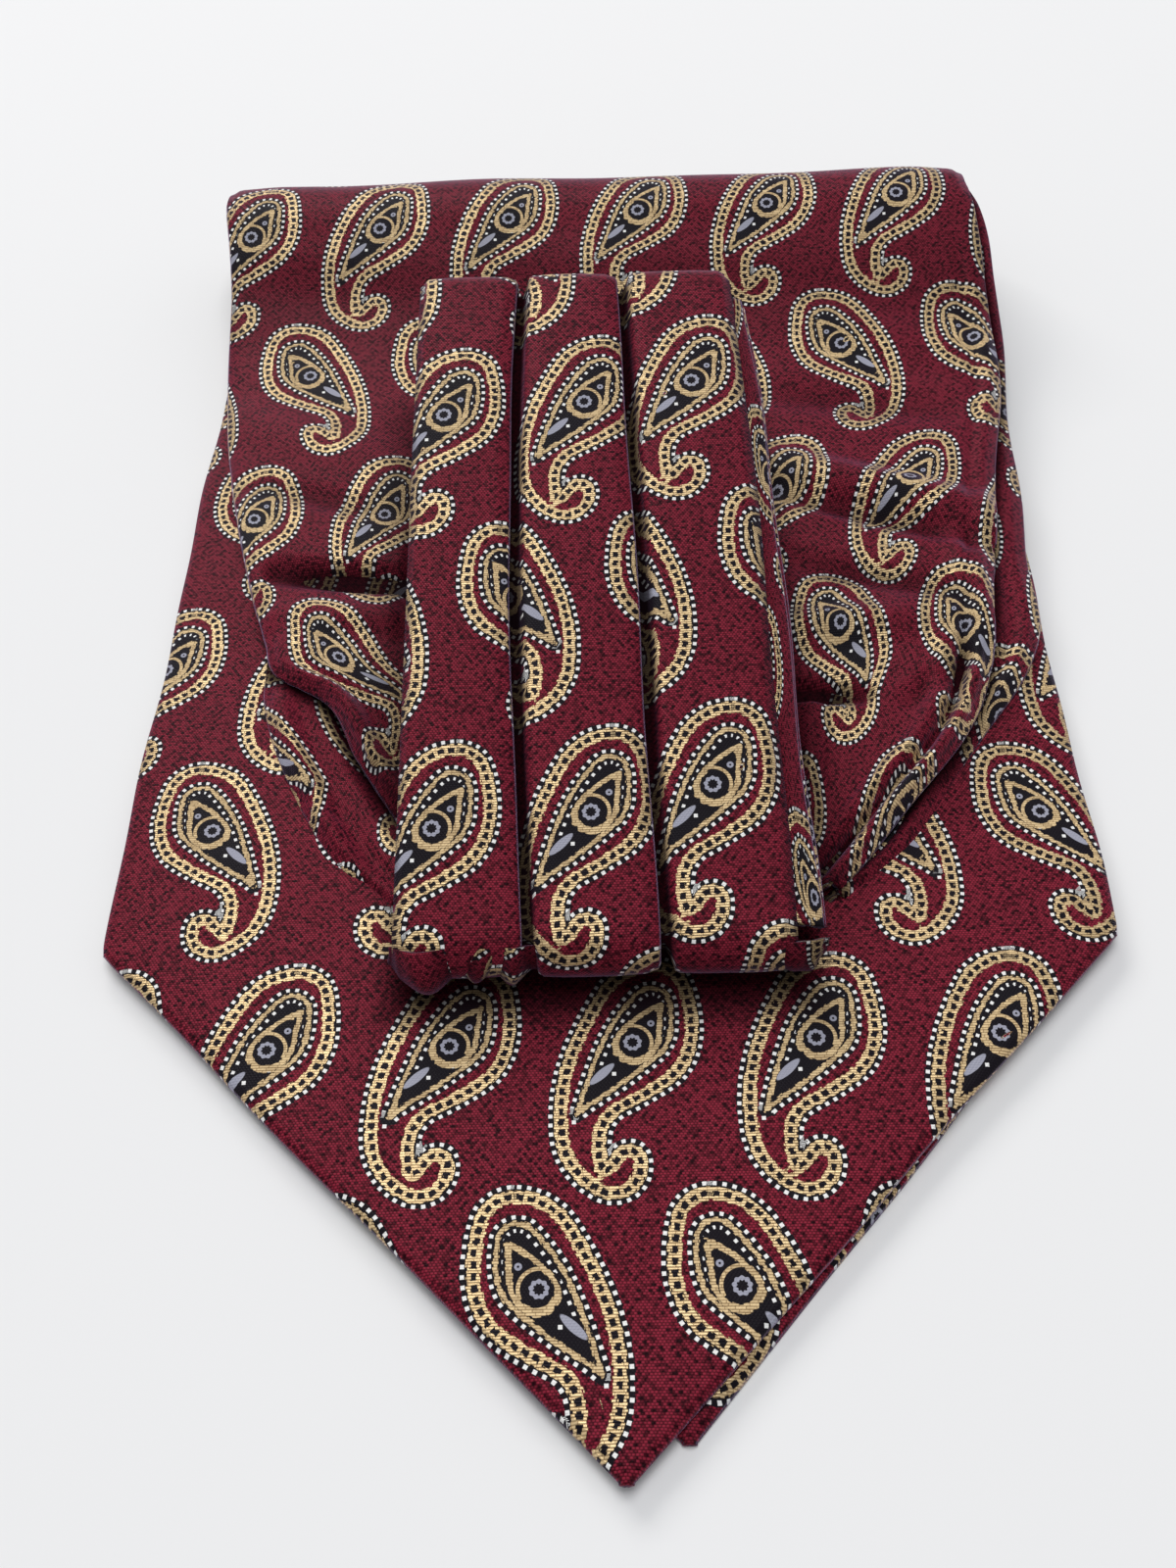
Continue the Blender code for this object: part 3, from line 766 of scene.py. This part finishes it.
gather_left = gathered_roll("gather_left", -35.2, -11.0, 3.0)
gather_right = gathered_roll("gather_right", 19.5, 27.2, 8.0)

# %% [markdown]
# ## The figured silk
#
# One material does for every piece, because all of them are cut from one length of silk.  A material for
# each colour would need a mesh cut along every outline, so this one paints all the threads.  Its sums are
# written as Python expressions: a small class wraps a socket, and adds a Math node for each operation.

# %% Shader expressions
class Sock:
    """A shader socket that answers to Python's operators."""

    tree = None

    def __init__(self, socket):
        self.socket = socket

    @classmethod
    def node(cls, kind, settings, sockets):
        """A node of any kind: its settings come first, then the values or links of its sockets."""
        made = cls.tree.nodes.new(kind)
        for key, value in settings.items():
            setattr(made, key, value)
        for key, value in sockets.items():
            cls.feed(made.inputs[key], value)
        return made

    @classmethod
    def feed(cls, target, value):
        if isinstance(value, Sock):
            cls.tree.links.new(value.socket, target)
        else:
            target.default_value = value

    @classmethod
    def math(cls, operation, *values, clamp=False):
        settings = {"operation": operation, "use_clamp": clamp}
        return cls(cls.node("ShaderNodeMath", settings, dict(enumerate(values))).outputs[0])

    def __add__(self, other):
        return self.math("ADD", self, other)

    def __sub__(self, other):
        return self.math("SUBTRACT", self, other)

    def __mul__(self, other):
        return self.math("MULTIPLY", self, other)

    def __truediv__(self, other):
        return self.math("DIVIDE", self, other)

    def __radd__(self, other):
        return self.math("ADD", other, self)

    def __rsub__(self, other):
        return self.math("SUBTRACT", other, self)

    def __rmul__(self, other):
        return self.math("MULTIPLY", other, self)

    def __neg__(self):
        return self.math("MULTIPLY", self, -1.0)

    def __mod__(self, other):
        return self.math("FLOORED_MODULO", self, other)

    def __abs__(self):
        return self.math("ABSOLUTE", self)

    def floor(self):
        return self.math("FLOOR", self)

    def sine(self):
        return self.math("SINE", self)

    def below(self, edge, soft=0.06):
        """1 under the edge, 0 past it, with a narrow soft step."""
        return self.math("MULTIPLY_ADD", self - edge, -1.0 / soft, 0.5, clamp=True)

    def above(self, edge, soft=0.06):
        """0 under the edge, 1 past it."""
        return self.math("MULTIPLY_ADD", self - edge, 1.0 / soft, 0.5, clamp=True)


def both(*masks):
    """1 where every mask is 1."""
    result = masks[0]
    for mask in masks[1:]:
        result = result * mask
    return result


def between(value, low, high):
    return both(value.above(low), value.below(high))


def paint(under, colour, mask):
    """The colour laid over another where the mask is 1."""
    made = Sock.node("ShaderNodeMix", {"data_type": "RGBA"}, {0: mask, 6: under, 7: colour})
    return Sock(made.outputs[2])


def attribute(name, output="Fac"):
    return Sock(Sock.node("ShaderNodeAttribute", {"attribute_name": name}, {}).outputs[output])


def parts_of(vector):
    made = Sock.node("ShaderNodeSeparateXYZ", {}, {0: vector})
    return Sock(made.outputs[0]), Sock(made.outputs[1])


def hashed(x, y):
    """A chance number for each whole x and y."""
    pair = Sock.node("ShaderNodeCombineXYZ", {}, {0: x, 1: y})
    made = Sock.node("ShaderNodeTexWhiteNoise", {"noise_dimensions": "2D"}, {0: Sock(pair.outputs[0])})
    return Sock(made.outputs[0])


# %% [markdown]
# The ground is a fine twill, crimson specks on near black.  The specks are laid like bricks, and gather in
# clusters along both diagonals; each is painted lighter on its crown, as light falls on a raised thread,
# and fades towards its edges.  The gold weft floats across the motif in level threads, with painted light
# on top of each float and painted shade at its sides, and a dark gap where one float ends and the next
# begins.

# %% The silk's threads, with colours in linear light
CRIMSON = (0.285, 0.022, 0.044, 1)
WINE = (0.016, 0.002, 0.004, 1)
INK = (0.011, 0.009, 0.012, 1)
GOLD = (0.860, 0.640, 0.350, 1)
# GOLD_SHADE is the painted shade at the sides of a gold thread, and the colour of the gaps between floats.
GOLD_SHADE = (0.200, 0.115, 0.050, 1)
PEARL = (0.920, 0.910, 0.880, 1)
SLATE = (0.360, 0.360, 0.430, 1)
# SHADOW is the colour of painted shadow, where the shade attribute sends the material to a plain dark
# shader.
SHADOW = (0.006, 0.002, 0.003, 1)  # deep in a groove
SPECK_WIDE, SPECK_HIGH = 0.50, 0.36  # mm
CLUSTER_WIDE, CLUSTER_HIGH = 1.40, 1.50
THREAD = 0.40  # between gold threads
FLOAT = 1.35  # the length of one gold float


def swell(value, pitch):
    """0 at each end of the pitch and 1 half way."""
    return abs(((value / pitch) * math.pi).sine())


def ground_threads(u, v):
    """The ground's colour, and the height of its specks."""
    speck_row = (v / SPECK_HIGH).floor()
    across = u / SPECK_WIDE + (speck_row * 0.5) % 1.0
    chance = hashed(across.floor(), speck_row)
    cluster = (u * (2 * math.pi / CLUSTER_WIDE)).sine() * (v * (2 * math.pi / CLUSTER_HIGH)).sine()
    speck = Sock.math("MULTIPLY_ADD", chance * 0.95 + cluster * 0.28, 1.3, 0.08, clamp=True)
    hump = swell(v, SPECK_HIGH) * swell(across, 1.0)
    # Painted light: a speck is lighter on its crown, where hump is high, as light falls on a raised thread.
    return paint(WINE, CRIMSON, speck * (hump + 0.24)), hump


def gold_threads(u, v, thread_row):
    """The gold's colour, and the height of its threads."""
    along = u / FLOAT + hashed(thread_row, 3.0)
    tone = hashed(along.floor(), thread_row)
    crown = swell(v, THREAD)
    gap = abs((along % 1.0) - 0.5).above(0.45, 0.05)
    # Painted light and shade: a gold thread is lighter on its crown and darker at its sides, as light falls
    # on a round thread; tone is each float's own.
    lit = Sock.math("MULTIPLY_ADD", crown, 0.75, tone * 0.40 - 0.05, clamp=True)
    return paint(GOLD_SHADE, GOLD, lit * (1.0 - gap * 0.65)), crown


# %% [markdown]
# Only whole threads can float, so each outline steps from thread to thread: a chance offset for each short
# run of each thread is added to its distance.  The drop lies in the crimson heart of the band.  It is a
# gold line with white beads outside it, black inside, and in that a leaf, a heavy gold curve, a white
# broken line and the eye.

# %% The drop and what is in it
RAGGED, RAGGED_RUN = 0.34, 0.55  # mm
LEAF_AT, LEAF_LONG, LEAF_WIDE = (-4.4, -4.9), 2.3, 0.66
LEAF_ALONG, LEAF_ACROSS = 0.731, 0.682  # the cosine and sine of 43 degrees
FLOWER_AT = (2.7, 3.0)


def marks(distance, count, at, half_long, half_wide):
    """One mark for each whole number counted along a line, centred on the distance given."""
    return both(abs((count % 1.0) - 0.5).below(half_long, 0.05), abs(distance - at).below(half_wide))


def distance_from(x, y):
    return Sock.math("SQRT", x * x + y * y)


def square(px, py, at, half):
    return both(abs(px - at[0]).below(half), abs(py - at[1]).below(half))


def leaf(px, py):
    x, y = px - LEAF_AT[0], py - LEAF_AT[1]
    along = abs(x * LEAF_ALONG + y * LEAF_ACROSS) / LEAF_LONG
    across = abs(y * LEAF_ALONG - x * LEAF_ACROSS) / LEAF_WIDE
    return (Sock.math("POWER", along, 1.6) + Sock.math("POWER", across, 2.0)).below(1.0, 0.15)


def drop_over(colour, gold, ragged, inside):
    px, py = parts_of(attribute("place", "Vector"))
    fine = attribute("drop_distance")
    drop, core = fine + ragged, attribute("core_distance") + ragged * 0.7
    in_drop = both(drop.below(-0.30), inside)
    in_core = both(core.below(-0.40), in_drop)
    colour = paint(colour, INK, both(between(drop, 0.2, 1.25), inside))
    beads = marks(fine, attribute("drop_beads"), DROP_BEADS, 0.20, 0.27)
    colour = paint(colour, PEARL, beads * inside)
    colour = paint(colour, gold, abs(drop).below(0.35) * inside)
    colour = paint(colour, INK, in_drop)
    broken = marks(fine, attribute("drop_dashes"), -0.95, 0.17, 0.24)
    colour = paint(colour, PEARL, both(broken, core.above(0.70), py.above(-3.5), inside))
    colour = paint(colour, SLATE, leaf(px, py) * in_drop)
    heavy = Sock.math("MULTIPLY_ADD", -py - px * 0.5, 0.13, 0.34)
    heavy = Sock.math("MINIMUM", Sock.math("MAXIMUM", heavy, 0.36), 0.72)
    colour = paint(colour, gold, both(core.above(-0.40), core.below(heavy), in_drop))
    colour = paint(colour, INK, in_core)
    eye = distance_from(px, py)
    colour = paint(colour, gold, both(abs(eye - 2.7).below(0.26), (px + py).above(1.0), in_core))
    petals = (Sock.math("ARCTAN2", py, px) * 9.0).sine() * 0.09
    colour = paint(colour, SLATE, abs(eye - 1.0).below(petals + 0.27) * in_core)
    flower = distance_from(px - FLOWER_AT[0], py - FLOWER_AT[1])
    colour = paint(colour, SLATE, both(abs(flower - 0.34).below(0.17), in_core, eye.above(2.9)))
    colour = paint(colour, INK, square(px, py, (-2.3, -2.5), 0.36) * in_drop)
    colour = paint(colour, PEARL, square(px, py, (-2.7, -4.9), 0.28) * in_drop)
    return paint(colour, PEARL, square(px, py, (-8.35, -12.2), 0.28) * inside)


# %% [markdown]
# Round it all goes the band: a broad gold line with black dashes along its middle, a black line outside it,
# and white beads on that.
#
# The surface itself is a Principled shader with sheen, which is the pale bloom of silk seen at a low angle,
# and gilt threads a little metallic.  Deep in the grooves and folds no bloom shows, so wherever shade is
# painted, in grooves and folds, beside and under the band and on undersides, a Mix Shader goes over to a
# plain dark one that paints the shadow.

# %% The figured silk
BAND_HALF = 0.92  # half the width of the band's gold line
SILK_SHEEN = {
    "Specular IOR Level": 0.04,
    "Sheen Weight": 0.48,
    "Sheen Roughness": 0.30,
    "Sheen Tint": (0.84, 0.60, 1.0, 1),
}


def band_over(colour, gold, ragged, on_band):
    fine = attribute("band_distance")
    band = fine + ragged
    colour = paint(colour, INK, between(band, 0.7, 1.80))
    colour = paint(colour, PEARL, marks(fine, attribute("band_beads"), BAND_BEADS, 0.21, 0.28))
    colour = paint(colour, gold, on_band)
    return paint(colour, INK, marks(band, attribute("band_dashes"), 0.0, 0.33, 0.40))


def figured_silk():
    material = bpy.data.materials.new("paisley_silk")
    material.use_nodes = True
    Sock.tree = material.node_tree
    Sock.tree.nodes.clear()
    cloth_at = attribute("cloth", "Vector")
    u, v = parts_of(cloth_at)
    thread_row = (v / THREAD).floor()
    ragged = (hashed((u / RAGGED_RUN + thread_row * 0.5).floor(), thread_row) - 0.5) * RAGGED
    band = attribute("band_distance") + ragged
    on_band = abs(band).below(BAND_HALF)
    ground, hump = ground_threads(u, v)
    gold, crown = gold_threads(u, v, thread_row)
    colour = drop_over(ground, gold, ragged, band.below(-1.15))
    colour = band_over(colour, gold, ragged, on_band)

    relief = hump * 0.6 * (1.0 - on_band) + on_band * (crown * 0.7 + 0.9)
    bump_node = Sock.node("ShaderNodeBump", {}, {"Strength": 0.6, "Distance": 0.14 * MM, "Height": relief})
    cloudy = Sock.node(
        "ShaderNodeTexNoise", {"noise_dimensions": "2D"}, {"Vector": cloth_at, "Scale": 0.09, "Detail": 3.0}
    )
    wear = (Sock(cloudy.outputs[0]) - 0.5) * 0.12
    shade = attribute("shade")
    silk = Sock.node("ShaderNodeBsdfPrincipled", {}, {
        "Base Color": colour,
        "Roughness": Sock.math("MULTIPLY_ADD", on_band, -0.04, 0.36) + wear,
        "Metallic": on_band * (1.0 - shade) * 0.36,
        "Normal": Sock(bump_node.outputs[0]),
        **SILK_SHEEN,
    })
    # Painted shadow: a plain dark shader, mixed in as far as the shade attribute says.
    painted_shadow = Sock.node(
        "ShaderNodeBsdfPrincipled", {}, {"Base Color": SHADOW, "Roughness": 0.9, "Specular IOR Level": 0.0}
    )
    either = {0: shade, 1: Sock(silk.outputs[0]), 2: Sock(painted_shadow.outputs[0])}
    mixed = Sock.node("ShaderNodeMixShader", {}, either)
    Sock.node("ShaderNodeOutputMaterial", {}, {0: Sock(mixed.outputs[0])})
    print("silk:", len(Sock.tree.nodes), "nodes")
    return material


silk = figured_silk()
CLOTHS = (
    upper_blade, under_blade, folded_stretch, inner_stretch, pleat_left, pleat_middle, pleat_right,
    band_under_upper, band_under_lower, gather_left, gather_right,
)
for piece in CLOTHS:
    piece.data.materials.append(silk)

# %% [markdown]
# ## Floor, light and camera
#
# The cravat lies on a pale plain floor.  Broad soft light from above and behind, as from a window, leaves
# only a faint shadow: one large lamp behind it, one overhead and an even grey world.

# %% Floor
FLOOR_HALF = 3.0  # m
FLOOR_DOWN = 0.2 * MM  # so that it doesn't touch the blade's underside
PALE = (0.86, 0.855, 0.85, 1)

floor_mesh = bpy.data.meshes.new("floor")
builder = bmesh.new()
bmesh.ops.create_grid(builder, x_segments=1, y_segments=1, size=FLOOR_HALF)
builder.to_mesh(floor_mesh)
builder.free()
floor = bpy.data.objects.new("floor", floor_mesh)
floor.location.z = -FLOOR_DOWN
bpy.context.scene.collection.objects.link(floor)
paper = bpy.data.materials.new("floor_paper")
paper.use_nodes = True
paper_finish = paper.node_tree.nodes["Principled BSDF"].inputs
paper_finish["Base Color"].default_value = PALE
paper_finish["Roughness"].default_value = 0.9
floor_mesh.materials.append(paper)
floor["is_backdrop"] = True
print("floor:", 2 * FLOOR_HALF, "m square")


# %% Lights
def area_light(name, size, power, location, colour):
    """A lamp of size (wide, high) in metres, turned to face the middle of the floor."""
    light = bpy.data.lights.new(name, "AREA")
    light.shape = "RECTANGLE"
    light.size, light.size_y = size
    light.energy = power
    light.color = colour
    lamp = bpy.data.objects.new(name, light)
    lamp.location = location
    lamp.rotation_euler = (-Vector(location)).to_track_quat("-Z", "Y").to_euler()
    bpy.context.scene.collection.objects.link(lamp)
    print(name, power, "W,", size, "m")


area_light("window", (2.4, 1.2), 64.0, (-1.35, 2.85, 1.95), (1.0, 0.985, 0.96))
area_light("ceiling", (2.2, 2.2), 66.0, (0.0, 0.50, 3.6), (0.97, 0.985, 1.0))
world = bpy.data.worlds.new("room")
world.use_nodes = True
background = world.node_tree.nodes["Background"].inputs
background["Color"].default_value = (0.93, 0.95, 1.0, 1)
background["Strength"].default_value = 0.36
bpy.context.scene.world = world
bpy.context.scene.view_settings.view_transform = "Standard"

# %% [markdown]
# The camera stands at the near end and looks steeply down, close enough for the raised band to look larger
# than the blades under it.

# %% Camera
CAMERA_AT = (-0.0025, -0.181, 0.2018)
TILT, AIM, ROLL = 38.43, 1.45, -2.48  # degrees: up from straight down, to the left, and about its own axis
LENS, SENSOR = 24.27, 24.0

camera_data = bpy.data.cameras.new("camera")
camera_data.sensor_fit = "VERTICAL"
camera_data.sensor_height = SENSOR
camera_data.lens = LENS
camera_data.clip_start = 0.01
camera = bpy.data.objects.new("camera", camera_data)
turn = (
    Matrix.Rotation(math.radians(AIM), 4, "Z")
    @ Matrix.Rotation(math.radians(TILT), 4, "X")
    @ Matrix.Rotation(math.radians(ROLL), 4, "Z")
)
camera.matrix_world = Matrix.Translation(CAMERA_AT) @ turn
bpy.context.scene.collection.objects.link(camera)
bpy.context.scene.camera = camera
print("camera", round(1000 * CAMERA_AT[2]), "mm above the floor")

# %% [markdown]
# ## What each cloth was cut from
#
# Each sheet's flat size, of the cloth that shows in it, is printed: a blade less the corners cut off its
# point, a stretch as it narrows, and each pleat with its tucked part, measured along its turns.


def declare(piece, width, length):
    print(piece.name, "was", round(1000 * width, 1), "by", round(1000 * length, 1), "mm flat")


declare(upper_blade, 0.152, 0.246)
declare(under_blade, 0.149, 0.241)
declare(folded_stretch, 0.152, 0.203)
declare(inner_stretch, 0.154, 0.196)
for piece, width in ((pleat_left, 0.018), (pleat_middle, 0.023), (pleat_right, 0.024)):
    declare(piece, width, 0.150)
declare(band_under_upper, 0.059, 0.117)
declare(band_under_lower, 0.060, 0.117)
declare(gather_left, 0.030, 0.0125)
declare(gather_right, 0.0101, 0.0100)

# %% Size of the cloths
cad_low, cad_high = [float(c) for c in cad_low], [float(c) for c in cad_high]
low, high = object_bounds()
low, high = [float(c) for c in low], [float(c) for c in high]
print("visual spans, mm:", [round(1000 * (b - a), 1) for a, b in zip(low, high)])
